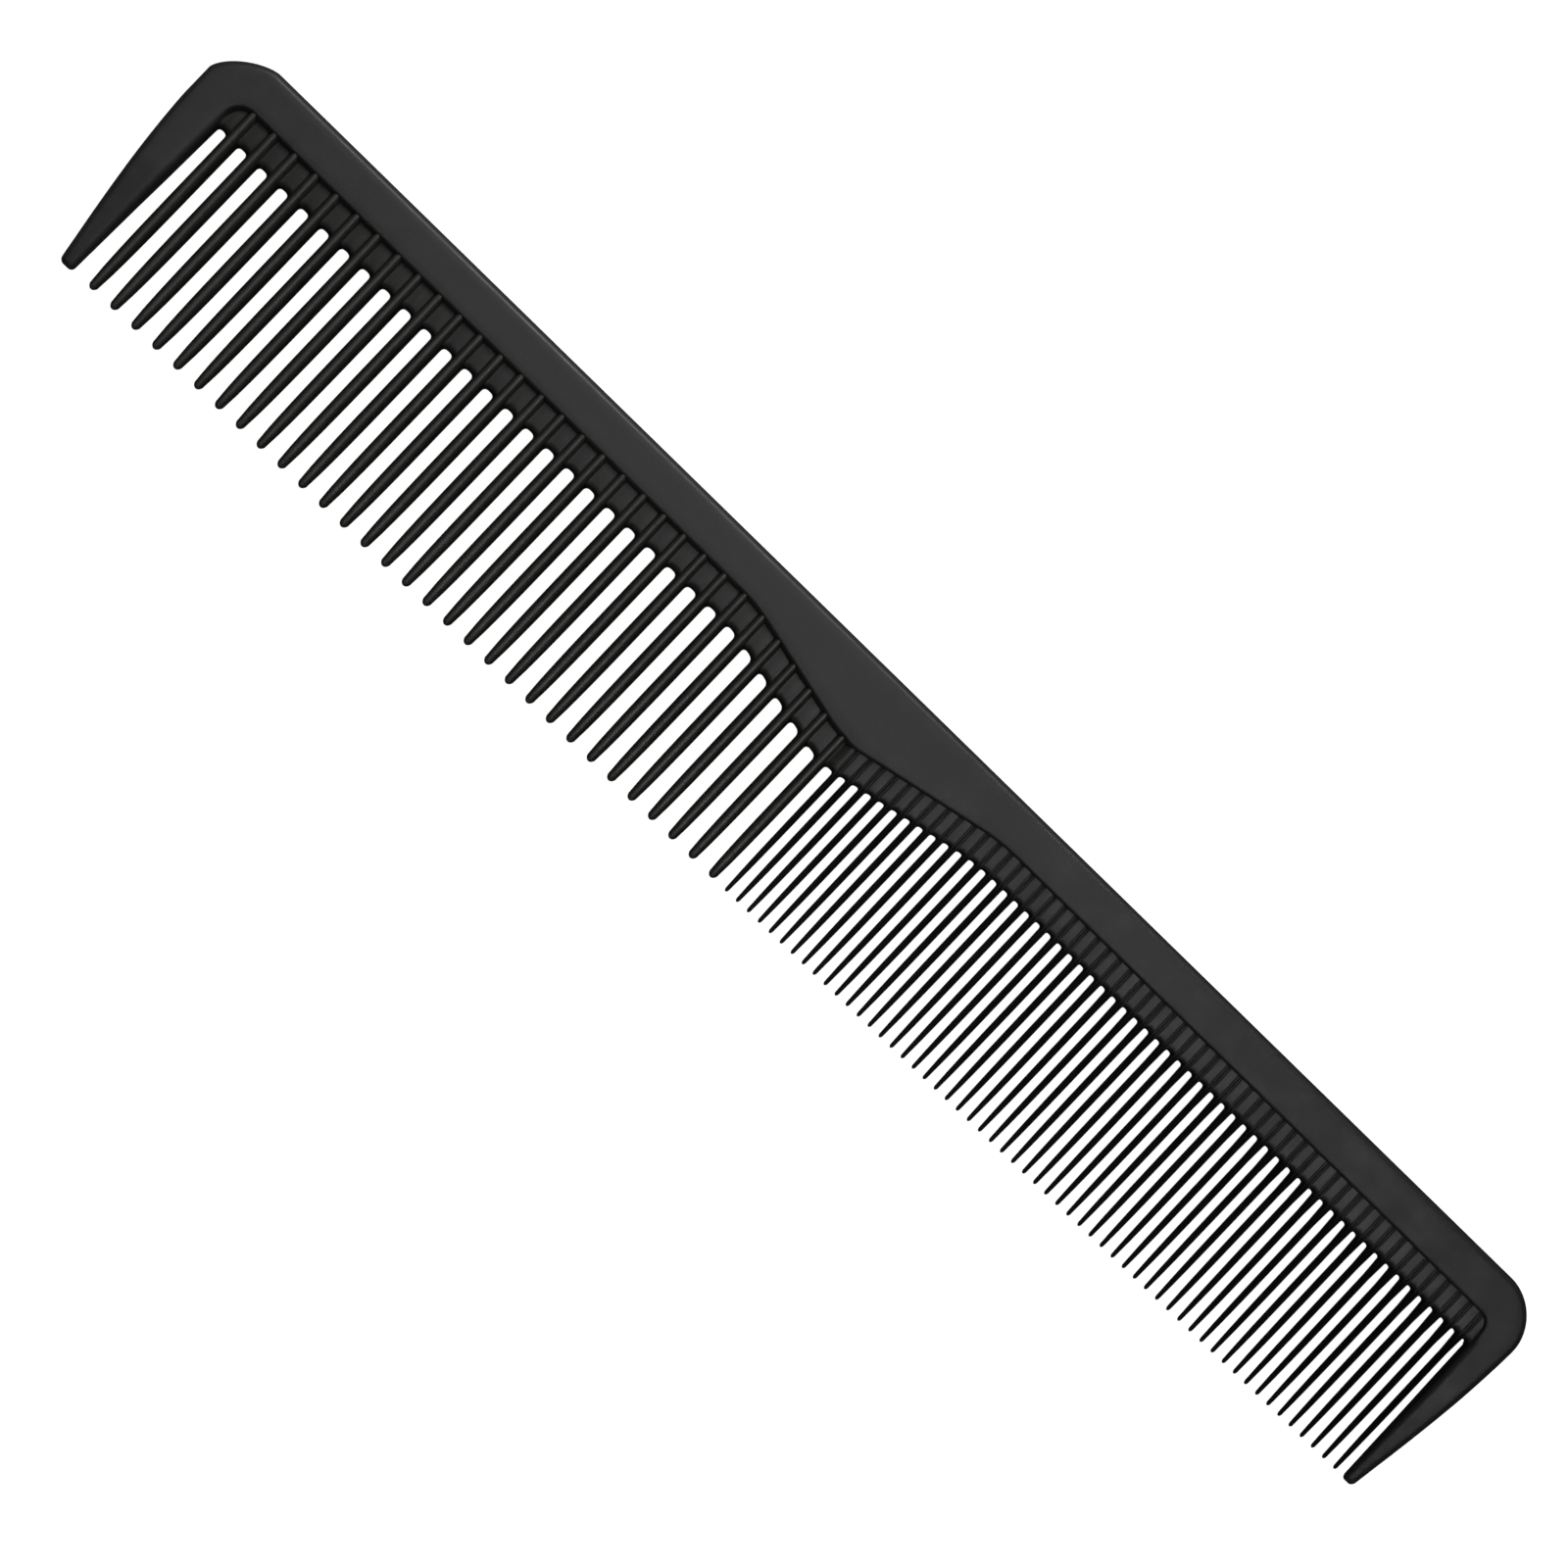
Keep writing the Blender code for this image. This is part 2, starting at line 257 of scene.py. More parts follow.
    def web_half(self, x: np.ndarray, y: np.ndarray) -> np.ndarray:
        """Half thickness of the sunk web, in a fixed share of the crest's at each X."""
        half = self.thickness / 2
        return self.crest_height(y) * (half - self.web_sink(x)) / (half - self.rib_sink)


# ---------------------------------------------------------------- meshes


def ring_faces(rings: int, count: int, skip: np.ndarray | None = None) -> np.ndarray:
    """Corner numbers of the quads that join closed rings of points.

    Args:
        rings: number of rings.
        count: number of points in a ring.
        skip: true for each quad (ring, point) that is left out.

    Returns:
        One row of four corner numbers per quad.
    """
    start = np.arange(rings - 1)[:, None] * count
    first = np.arange(count)[None, :]
    second = (first + 1) % count
    quads = np.stack(
        (start + first, start + second, start + count + second, start + count + first), -1
    )
    return quads.reshape(-1, 4) if skip is None else quads[~skip]


@dataclass
class Shell:
    """Points, faces and point values of a piece while it is put together."""

    points: list[np.ndarray] = field(default_factory=list)
    faces: list[tuple[int, ...]] = field(default_factory=list)
    ridge: list[np.ndarray] = field(default_factory=list)
    count: int = 0

    def add_section(
        self,
        upper: tuple[np.ndarray, np.ndarray, np.ndarray],
        ridge: np.ndarray,
        skip: np.ndarray | None = None,
    ) -> None:
        """Adds a skin over closed rings, with a fan of triangles over either end.

        Each ring goes out over the upper points and back under their mirror image.

        Args:
            upper: X, Y and Z of the upper points, each shaped (rings, points).
            ridge: value from 0 to 1 of each, in the same shape.
            skip: quads of the whole ring left out, as in ring_faces.
        """
        above = np.stack(upper, -1)
        below = above[:, ::-1] * np.array((1.0, 1.0, -1.0))
        rings = np.concatenate((above, below), axis=1)
        ridge = np.concatenate((ridge, ridge[:, ::-1]), axis=1)
        total, around, _ = rings.shape
        quads = ring_faces(total, around, skip) + self.count
        self.faces += [tuple(quad) for quad in quads.tolist()]
        step = np.arange(around)
        for ring_start, hub in ((0, total * around), ((total - 1) * around, total * around + 1)):
            first = self.count + ring_start + step
            second = self.count + ring_start + (step + 1) % around
            hubs = np.full(around, self.count + hub)
            self.faces += [tuple(face) for face in np.stack((hubs, first, second), -1).tolist()]
        self.points += [rings.reshape(-1, 3), rings[0].mean(0)[None], rings[-1].mean(0)[None]]
        self.ridge += [ridge.reshape(-1), ridge[0].mean(keepdims=True), ridge[-1].mean(keepdims=True)]
        self.count += total * around + 2

    def piece(self, name: str, plan: CombPlan) -> bpy.types.Object:
        """Makes the object: one closed, outward-facing, smooth-shaded mesh.

        Args:
            name: the object's name.
            plan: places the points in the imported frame.

        Returns:
            The new object, linked to the scene.
        """
        mesh = bpy.data.meshes.new(name)
        points = plan.place(np.concatenate(self.points))
        mesh.from_pydata(points.tolist(), [], self.faces)
        ridge = mesh.attributes.new("ridge", "FLOAT", "POINT")
        ridge.data.foreach_set("value", np.concatenate(self.ridge).astype(np.float32))
        shape = bmesh.new()
        shape.from_mesh(mesh)
        bmesh.ops.remove_doubles(shape, verts=shape.verts, dist=MERGE_DISTANCE)
        bmesh.ops.dissolve_degenerate(shape, edges=shape.edges, dist=MERGE_DISTANCE / 10)
        bmesh.ops.recalc_face_normals(shape, faces=shape.faces)
        shape.to_mesh(mesh)
        shape.free()
        mesh.shade_smooth()
        mesh.set_sharp_from_angle(angle=CRISP_ANGLE)
        piece = bpy.data.objects.new(name, mesh)
        bpy.context.scene.collection.objects.link(piece)
        return piece


# ---------------------------------------------------------------- finishes


# Noise scales count cells per metre; each group's numbers are named after its effect.
MOTTLE_SCALES = (420.0, 60.0)
MOTTLE_SHARES = (0.6, 0.4)
MOTTLE_FLOOR = 0.3
MOTTLE_CONTRAST = 2.5
DRAW_LINE_SCALE = (5200.0, 170.0, 3800.0)
# Noise that breaks up the painted highlight on the ridges.
HIGHLIGHT_BREAK_SCALE = 900.0
HIGHLIGHT_BREAK_UP = 0.5
DUST_SCALE = 3200.0
DUST_THRESHOLD = 0.62
DUST_CONTRAST = 6.0
DUST_COLOUR = (0.30, 0.29, 0.27, 1.0)


class NodeKit:
    """Shorthand for building a shader tree."""

    MIX_INPUTS = (0, 6, 7)
    MIX_RESULT = 2

    def __init__(self, tree: bpy.types.NodeTree) -> None:
        """Keeps the tree that nodes are added to."""
        self.tree = tree

    def feed(self, value: object, target: bpy.types.NodeSocket) -> None:
        """Joins a socket to an input, or sets the input to a number, vector or colour.

        Args:
            value: the socket, number, vector or colour.
            target: the input.
        """
        if isinstance(value, bpy.types.NodeSocket):
            self.tree.links.new(value, target)
        else:
            target.default_value = value

    def add(self, kind: str, **values: object) -> bpy.types.Node:
        """Adds a node.

        Args:
            kind: the node's type.
            values: its properties, then its inputs by name with _ for a space.

        Returns:
            The new node.
        """
        node = self.tree.nodes.new(kind)
        for key, value in values.items():
            if hasattr(node, key):
                setattr(node, key, value)
            else:
                self.feed(value, node.inputs[key.replace("_", " ")])
        return node

    def math(self, operation: str, a: object, b: object, clamp: bool = False) -> object:
        """Adds a Math node.

        Args:
            operation: what it does.
            a, b: its inputs, as sockets or numbers.
            clamp: whether the result is kept from 0 to 1.

        Returns:
            Its output.
        """
        node = self.add("ShaderNodeMath", operation=operation, use_clamp=clamp)
        self.feed(a, node.inputs[0])
        self.feed(b, node.inputs[1])
        return node.outputs[0]

    def noise(self, vector: object, scale: object, detail: float, rough: float = 0.5) -> object:
        """The value output of a Noise Texture read at a vector."""
        values = {"Vector": vector, "Scale": scale, "Detail": detail, "Roughness": rough}
        return self.add("ShaderNodeTexNoise", **values).outputs["Fac"]

    def mix(self, share: object, first: object, second: object) -> object:
        """Mixes two colours.

        Args:
            share: how much of the second colour shows.
            first, second: the colours, as sockets or four numbers.

        Returns:
            The mixed colour.
        """
        node = self.add("ShaderNodeMix", data_type="RGBA")
        for number, value in zip(self.MIX_INPUTS, (share, first, second)):
            self.feed(value, node.inputs[number])
        return node.outputs[self.MIX_RESULT]


def new_group(
    name: str, inputs: tuple[str, ...], outputs: tuple[str, ...]
) -> tuple[NodeKit, object, object]:
    """Starts a shader node group.

    Args:
        name: the group's name.
        inputs: names of what it takes, a vector first and then values.
        outputs: names of the values that it gives.
    """
    tree = bpy.data.node_groups.new(name, "ShaderNodeTree")
    for label in inputs:
        kind = "NodeSocketVector" if label == inputs[0] else "NodeSocketFloat"
        tree.interface.new_socket(name=label, in_out="INPUT", socket_type=kind)
    for label in outputs:
        tree.interface.new_socket(name=label, in_out="OUTPUT", socket_type="NodeSocketFloat")
    kit = NodeKit(tree)
    return kit, kit.add("NodeGroupInput").outputs, kit.add("NodeGroupOutput").inputs


def grain_group() -> bpy.types.NodeTree:
    """Fine spark-eroded grain of the mould.

    Returns:
        A group that gives the grain's height and a slow mottle of the surface.
    """
    kit, takes, gives = new_group("moulded_grain", ("Vector", "Grain Size"), ("Height", "Mottle"))
    scale = kit.math("DIVIDE", 1.0, takes["Grain Size"])
    kit.feed(kit.noise(takes["Vector"], scale, 3.0), gives["Height"])
    broad = kit.noise(takes["Vector"], MOTTLE_SCALES[0], 4.0, 0.6)
    slow = kit.noise(takes["Vector"], MOTTLE_SCALES[1], 2.0)
    broad = kit.math("MULTIPLY", broad, MOTTLE_SHARES[0])
    mottle = kit.math("ADD", broad, kit.math("MULTIPLY", slow, MOTTLE_SHARES[1]))
    mottle = kit.math("SUBTRACT", mottle, MOTTLE_FLOOR)
    kit.feed(kit.math("MULTIPLY", mottle, MOTTLE_CONTRAST, clamp=True), gives["Mottle"])
    return kit.tree


def draw_line_group() -> bpy.types.NodeTree:
    """Faint lines that the mould leaves along the way a tooth is drawn out of it.

    Returns:
        A group that gives the lines, from noise stretched along the teeth.
    """
    kit, takes, gives = new_group("draw_lines", ("Vector", "Sharpness"), ("Lines",))
    along = kit.add("ShaderNodeVectorMath", operation="MULTIPLY")
    kit.feed(takes["Vector"], along.inputs[0])
    kit.feed(DRAW_LINE_SCALE, along.inputs[1])
    spread = kit.math("SUBTRACT", kit.noise(along.outputs[0], 1.0, 3.0, 0.62), 0.5)
    spread = kit.math("MULTIPLY", spread, takes["Sharpness"])
    kit.feed(kit.math("ADD", spread, 0.5, clamp=True), gives["Lines"])
    return kit.tree


def highlight_group() -> bpy.types.NodeTree:
    """Painted highlight on the high edges and the tooth crests.

    Returns:
        A group that gives the painted highlight: the ridge value less a share of noise.
    """
    kit, takes, gives = new_group("painted_highlight_mask", ("Vector", "Ridge", "Reach"), ("Polish",))
    broken = kit.noise(takes["Vector"], HIGHLIGHT_BREAK_SCALE, 4.0, 0.65)
    broken = kit.math("MULTIPLY", broken, HIGHLIGHT_BREAK_UP)
    high = kit.math("SUBTRACT", takes["Ridge"], broken)
    kit.feed(kit.math("MULTIPLY", high, takes["Reach"], clamp=True), gives["Polish"])
    return kit.tree


def dust_group() -> bpy.types.NodeTree:
    """A trace of pale dust in specks, thickest where the surface lies lowest.

    Returns:
        A group that gives the dust: the noise above a threshold, faded by the ridge value.
    """
    kit, takes, gives = new_group("settled_dust", ("Vector", "Ridge", "Amount"), ("Dust",))
    specks = kit.math("SUBTRACT", kit.noise(takes["Vector"], DUST_SCALE, 2.0, 0.7), DUST_THRESHOLD)
    specks = kit.math("MULTIPLY", specks, DUST_CONTRAST, clamp=True)
    low = kit.math("MULTIPLY", specks, kit.math("SUBTRACT", 1.0, takes["Ridge"]))
    kit.feed(kit.math("MULTIPLY", low, takes["Amount"]), gives["Dust"])
    return kit.tree


@dataclass(frozen=True)
class EffectGroups:
    """The shared effects, each built once."""

    grain: bpy.types.NodeTree
    lines: bpy.types.NodeTree
    polish: bpy.types.NodeTree
    dust: bpy.types.NodeTree

    @classmethod
    def build(cls) -> "EffectGroups":
        """Builds every shared node group."""
        return cls(grain_group(), draw_line_group(), highlight_group(), dust_group())


@dataclass(frozen=True)
class MouldedPlastic:
    """Satin charcoal plastic as it leaves the mould, with the marks of use and a painted highlight on
    its ridges.
    """

    name: str
    dark: Colour
    light: Colour
    # Lighter colour painted on the ridges as a highlight; the reach sets how strongly.
    highlight_colour: Colour
    roughness: float
    grain_size: float
    grain_height: float
    line_share: float
    highlight_reach: float
    dust_amount: float = 0.05
    specular: float = 0.42
    line_sharpness: float = 2.4
    line_height: float = 2.0
    mottle_roughness: float = 0.16
    polish_roughness: float = 0.10
    bump_strength: float = 0.55

    def material(self, groups: EffectGroups) -> bpy.types.Material:
        """Builds the material.

        Args:
            groups: the shared effects.

        Returns:
            A Principled material whose colour, roughness and bump vary over the surface.
        """
        made = bpy.data.materials.new(self.name)
        made.use_nodes = True
        kit = NodeKit(made.node_tree)
        shader = made.node_tree.nodes["Principled BSDF"].inputs
        shader["Specular IOR Level"].default_value = self.specular
        place = kit.add("ShaderNodeTexCoord").outputs["Object"]
        ridge = kit.add("ShaderNodeAttribute", attribute_name="ridge").outputs["Fac"]

        def effect(group: bpy.types.NodeTree, **values: object) -> object:
            """Places a shared effect with this finish's values; gives its outputs."""
            return kit.add("ShaderNodeGroup", node_tree=group, Vector=place, **values).outputs

        grain = effect(groups.grain, Grain_Size=self.grain_size)
        lines = effect(groups.lines, Sharpness=self.line_sharpness)["Lines"]
        polish = effect(groups.polish, Ridge=ridge, Reach=self.highlight_reach)["Polish"]
        dust = effect(groups.dust, Ridge=ridge, Amount=self.dust_amount)["Dust"]
        drawn = kit.math("MULTIPLY", lines, self.line_share)
        plain = kit.math("MULTIPLY", grain["Mottle"], 1 - self.line_share)
        shade = kit.math("ADD", drawn, plain, clamp=True)
        colour = kit.mix(shade, self.dark, self.light)
        # Painted highlight: the ridges take the lighter highlight colour.
        colour = kit.mix(polish, colour, self.highlight_colour)
        kit.feed(kit.mix(dust, colour, DUST_COLOUR), shader["Base Color"])
        rough = kit.math("MULTIPLY", grain["Mottle"], self.mottle_roughness)
        rough = kit.math("ADD", rough, self.roughness - self.mottle_roughness / 2)
        worn = kit.math("MULTIPLY", polish, self.polish_roughness)
        kit.feed(kit.math("SUBTRACT", rough, worn, clamp=True), shader["Roughness"])
        height = kit.math("MULTIPLY", lines, self.line_share * self.line_height)
        height = kit.math("ADD", height, grain["Height"])
        bump = kit.add("ShaderNodeBump", Strength=self.bump_strength, Distance=self.grain_height)
        kit.feed(height, bump.inputs["Height"])
        kit.feed(bump.outputs["Normal"], shader["Normal"])
        return made


SPINE_FINISH = MouldedPlastic(
    name="satin_charcoal",
    dark=(0.0150, 0.0152, 0.0150, 1.0),
    light=(0.0225, 0.0226, 0.0220, 1.0),
    # Painted highlight colour on the rounded edges and fillets.
    highlight_colour=(0.034, 0.034, 0.033, 1.0),
    roughness=0.50,
    grain_size=0.11 * MM,
    grain_height=0.012 * MM,
    line_share=0.1,
    highlight_reach=0.7,
)
# The spine's plastic again, with painted shade: darker base colours that dim the teeth and their
# webs, and a far lighter painted highlight colour on the crests.
SHADED_TOOTH_FINISH = MouldedPlastic(
    name="drawn_charcoal_painted_shade",
    dark=(0.0055, 0.0055, 0.0050, 1.0),
    light=(0.0160, 0.0160, 0.0146, 1.0),
    highlight_colour=(0.062, 0.062, 0.054, 1.0),
    roughness=0.44,
    grain_size=0.09 * MM,
    grain_height=0.010 * MM,
    line_share=0.55,
    highlight_reach=0.9,
)


# ---------------------------------------------------------------- spine and guards


def side_pair(
    outer_x: np.ndarray, outer_y: np.ndarray, inner_x: np.ndarray, inner_y: np.ndarray
) -> np.ndarray:
    """Outer and inner points of the bar, shaped (2, stations, 2)."""
    return np.stack((np.stack((outer_x, outer_y), -1), np.stack((inner_x, inner_y), -1)))


@dataclass(frozen=True)
class Guard:
    """A guard tooth's width at its root and its tip, and the recess's corner beside it."""

    width: float
    tip_width: float
    recess_radius: float


@dataclass
class CombFrame:
    """Spine and guard teeth: one bar whose section is carried round a staple's path.

    A field called share or limit is a part of the bar's own width, thickness or wall.
    """

    plan: CombPlan
    coarse_guard: Guard = Guard(4.63 * MM, 1.65 * MM, 1.65 * MM)
    fine_guard: Guard = Guard(3.82 * MM, 1.3 * MM, 1.25 * MM)
    guard_taper: float = 13.0 * MM
    guard_taper_power: float = 1.15
    guard_tip_thickness: float = 1.8 * MM
    guard_tip_round: float = 0.55 * MM
    tip_start: float = 0.02
    nib_share: float = 0.12
    nib_width_share: float = 0.35
    outer_round: float = 0.7 * MM
    outer_round_depth: float = 1.0 * MM
    round_limit: float = 0.42
    round_depth_limit: float = 0.85
    border_fillet: float = 0.16 * MM
    guard_fillet: float = 0.5 * MM
    fillet_limit: float = 0.16
    fillet_drop: float = 1.6
    fillet_drop_limit: float = 0.4
    guard_draft: float = 0.3 * MM
    step_slope: float = 0.45
    step_embed: float = 0.1 * MM
    run_limit: float = 0.2
    rise_to_step: float = 0.6
    least_height: float = 0.04 * MM
    guard_stations: int = 46
    tip_stations: int = 9
    corner_stations: int = 26
    back_stations: int = 300
    round_points: int = 8
    face_points: int = 6
    fillet_points: int = 5
    wall_points: int = 6

    def guard(self, end: End) -> Guard:
        """The guard at one end."""
        return self.coarse_guard if end is End.COARSE else self.fine_guard

    def guard_edge(self, end: End) -> float:
        """X of a guard's inner side at its root."""
        return end.value * (self.plan.length / 2 - self.guard(end).width)

    def guard_path(self, end: End) -> np.ndarray:
        """Points of a guard, from its tip up to the recess's corner.

        The outer side is the end's sweep. The inner side is a straight line that leans
        towards the end of the comb as it nears the tip.

        Args:
            end: the guard's end.

        Returns:
            Outer and inner points, as side_pair gives them.
        """
        plan, guard = self.plan, self.guard(end)
        edge = np.array(self.guard_edge(end))
        top = float(plan.border(edge)) - guard.recess_radius
        corner_start = plan.end_width(end) - plan.corner(end).reach_y
        tip = 1 - np.cos(np.linspace(0, RIGHT_ANGLE, self.tip_stations))
        low = self.guard_tip_round / top * (self.tip_start + (1 - self.tip_start) * tip)
        share = np.concatenate((low, np.linspace(low[-1], 1, self.guard_stations)[1:]))
        outer_y = share * min(top, corner_start)
        inner_y = share * top
        tip_edge = plan.length / 2 - plan.end_sweep - guard.tip_width
        fall = np.clip(1 - inner_y / float(plan.gullet(edge)), 0, 1)
        inner_x = abs(edge) + (tip_edge - abs(edge)) * fall
        outer_x = plan.length / 2 - plan.end_inset(outer_y)
        return side_pair(end.value * outer_x, outer_y, end.value * inner_x, inner_y)

    def corner_path(self, end: End) -> np.ndarray:
        """Points round a corner, from the guard to the back.

        The outer points follow the end and then the outline's superellipse, and the
        inner ones a quarter circle.

        Args:
            end: the corner's end.

        Returns:
            Outer and inner points, as side_pair gives them.
        """
        plan, corner = self.plan, self.plan.corner(end)
        radius = self.guard(end).recess_radius
        edge = self.guard_edge(end)
        middle = edge - end.value * radius
        turn = np.linspace(0, RIGHT_ANGLE, self.corner_stations + 1)[1:]
        inner_x = middle + end.value * radius * np.cos(turn)
        inner_y = float(plan.border(np.array(middle))) - radius + radius * np.sin(turn)
        straight_from = float(plan.border(np.array(edge))) - radius
        straight = max(0.0, plan.end_width(end) - corner.reach_y - straight_from)
        lead = round(self.corner_stations * straight / (straight + 2 * corner.reach_y))
        across, down = corner.insets(self.corner_stations - lead)
        rise = straight_from + straight * np.arange(1, lead + 1) / max(1, lead)
        outer_x = end.value * (plan.length / 2 - np.concatenate((np.zeros(lead), across[1:])))
        outer_y = np.concatenate((rise, plan.end_width(end) - down[1:]))
        return side_pair(outer_x, outer_y, inner_x, inner_y)

    def back_path(self) -> np.ndarray:
        """Points along the back, from the coarse corner to the fine one.

        Returns:
            Outer and inner points, as side_pair gives them.
        """
        share = np.linspace(0, 1, self.back_stations + 1)[1:-1]
        outer_from, outer_to = self.plan.back_span
        inner_from = self.guard_edge(End.COARSE) + self.coarse_guard.recess_radius
        inner_to = self.guard_edge(End.FINE) - self.fine_guard.recess_radius
        outer_x = outer_from + share * (outer_to - outer_from)
        inner_x = inner_from + share * (inner_to - inner_from)
        return side_pair(outer_x, self.plan.back(outer_x), inner_x, self.plan.border(inner_x))

    def path(self) -> np.ndarray:
        """The whole staple: coarse guard, corner, back, corner, fine guard.

        Returns:
            Outer and inner points, as side_pair gives them.
        """
        up = self.guard_path(End.COARSE), self.corner_path(End.COARSE)
        down = self.corner_path(End.FINE)[:, ::-1], self.guard_path(End.FINE)[:, ::-1]
        return np.concatenate((*up, self.back_path(), *down), axis=1)

    def half_thickness(self, y: np.ndarray) -> np.ndarray:
        """Full down to the taper, then thinned by a power of the distance below it."""
        share = np.clip(1 - y / self.guard_taper, 0, 1) ** self.guard_taper_power
        return (self.plan.thickness - share * (self.plan.thickness - self.guard_tip_thickness)) / 2

    def section(
        self, width: np.ndarray, half: np.ndarray, step: np.ndarray, sink: np.ndarray
    ) -> tuple[np.ndarray, np.ndarray, np.ndarray]:
        """Upper half of the bar's section at every station.

        Walking from the outer side to the inner one: a quarter ellipse over the outer
        edge, the flat face, a small fillet (a parabola), and the inner wall, which is
        a steep draft beside a guard and a sloping step above the web.

        Args:
            width: distance from outer to inner point, per station.
            half: half thickness, per station.
            step: 0 where the inner wall is a guard's and 1 where it is the web's step.
            sink: depth of the web under the face, per station.

        Returns:
            Distance from the outer point, height, and ridge value, per section point.
        """
        width, half, step, sink = (part[:, None] for part in (width, half, step, sink))
        turn = np.linspace(0, RIGHT_ANGLE, self.round_points)[None, :]
        reach = np.minimum(self.outer_round, width * self.round_limit)
        depth = np.minimum(self.outer_round_depth, half * self.round_depth_limit)
        round_d = reach * (1 - np.cos(turn))
        round_z = half - depth * (1 - np.sin(turn))
        step_depth = sink + self.step_embed
        run = self.guard_draft + step * (self.step_slope * step_depth - self.guard_draft)
        run = np.minimum(run, width * self.run_limit)
        fillet = self.guard_fillet + step * (self.border_fillet - self.guard_fillet)
        fillet = np.minimum(fillet, width * self.fillet_limit)
        face_share = np.linspace(0, 1, self.face_points)[None, 1:]
        face_d = reach + face_share * (width - run - fillet - reach)
        face_z = np.broadcast_to(half, face_d.shape)
        bend = np.linspace(0, 1, self.fillet_points)[None, 1:]
        wall_depth = half + step * (np.minimum(step_depth, half) - half)
        drop = np.minimum(fillet * self.fillet_drop, wall_depth * self.fillet_drop_limit)
        lean = run * drop / wall_depth
        fillet_d = width - run - fillet + 2 * bend * fillet - bend**2 * (fillet - lean)
        fillet_z = half - bend**2 * drop
        fall = np.linspace(0, 1, self.wall_points)[None, 1:]
        wall_d = width - run + lean + fall * (run - lean)
        wall_z = half - drop - fall * (wall_depth - drop)
        distance = np.concatenate((round_d, face_d, fillet_d, wall_d), axis=1)
        height = np.concatenate((round_z, face_z, fillet_z, wall_z), axis=1)
        # Ridge values: where the painted highlight goes on the rounded edge and the fillet.
        crests = (np.sin(2 * turn) ** 2, 0 * face_share, 1 - (2 * bend - 1) ** 2, 0 * fall)
        ridge = np.broadcast_to(np.concatenate(crests, axis=1), distance.shape)
        return distance, np.maximum(height, self.least_height), ridge

    def build(self) -> bpy.types.Object:
        """Carries the section round the path and closes it in rounded guard tips.

        Returns:
            The piece.
        """
        plan = self.plan
        outer, inner = self.path()
        across = inner - outer
        width = np.linalg.norm(across, axis=1)
        along_y = (outer[:, 1] + inner[:, 1]) / 2
        half = self.half_thickness(along_y)
        rise = inner[:, 1] - plan.gullet(inner[:, 0])
        step = ease(rise / (plan.web_height * self.rise_to_step))
        sink = plan.web_sink(inner[:, 0])
        distance, height, ridge = self.section(width, half, step, sink)
        direction = across / width[:, None]
        x = outer[:, 0:1] + direction[:, 0:1] * distance
        y = outer[:, 1:2] + direction[:, 1:2] * distance
        tip = np.clip(1 - along_y / self.guard_tip_round, 0, 1)
        shrink = np.sqrt(np.clip(1 - tip**2, 0.0, 1))[:, None]
        shrink = np.maximum(shrink, self.nib_share)
        centre = ((outer + inner) / 2)[:, 0:1]
        x = centre + (x - centre) * (self.nib_width_share + (1 - self.nib_width_share) * shrink)
        z = height * shrink
        shell = Shell()
        shell.add_section((x, y, z), ridge)
        return shell.piece("comb_back_and_guards", plan)


# ---------------------------------------------------------------- teeth


@dataclass(frozen=True)
class ToothPattern:
    """Everything that the teeth of one half share; its own values are the coarse half's."""

    end: End = End.COARSE
    pitch: float = 2.77 * MM
    spread: float = 0.35 * MM
    first_width: float = 1.58 * MM
    last_width: float = 1.36 * MM
    tip_width: float = 0.95 * MM
    taper_reach: float = 3.9 * MM
    tip_round: float = 0.62 * MM
    crest_flat: float = 0.16
    flank_power: float = 1.7
    edge_share: float = 0.25
    groove_depth: float = 0.06 * MM
    groove_reach: float = 0.75 * MM
    rib_columns: int = 9
    web_columns: int = 6
    arch_steps: int = 9
    free_steps: int = 11
    web_edge_round: float = 0.56 * MM
    web_edge_depth: float = 1.9
    foot_round: float = 0.10 * MM
    # Strength of the painted highlight along the tooth crest.
    crest_highlight: float = 1.0


COARSE_PATTERN = ToothPattern()
FINE_PATTERN = ToothPattern(
    end=End.FINE,
    pitch=1.485 * MM,
    spread=-0.2 * MM,
    first_width=0.73 * MM,
    last_width=0.73 * MM,
    tip_width=0.42 * MM,
    taper_reach=4.8 * MM,
    tip_round=0.38 * MM,
    crest_flat=0.0,
    flank_power=1.2,
    edge_share=0.20,
    groove_depth=0.22 * MM,
    groove_reach=0.17 * MM,
    rib_columns=7,
    web_columns=4,
    arch_steps=6,
    free_steps=9,
    web_edge_round=0.42 * MM,
    foot_round=0.07 * MM,
    crest_highlight=0.2,
)


@dataclass(frozen=True)
class Tooth:
    """One tooth between its two slots."""

    pattern: ToothPattern
    left: Slot
    right: Slot

    @property
    def middle(self) -> float:
        """X of the tooth's axis."""
        return (self.left.right + self.right.left) / 2

    @property
    def half(self) -> float:
        """Half the tooth's width at its root."""
        return (self.right.left - self.left.right) / 2


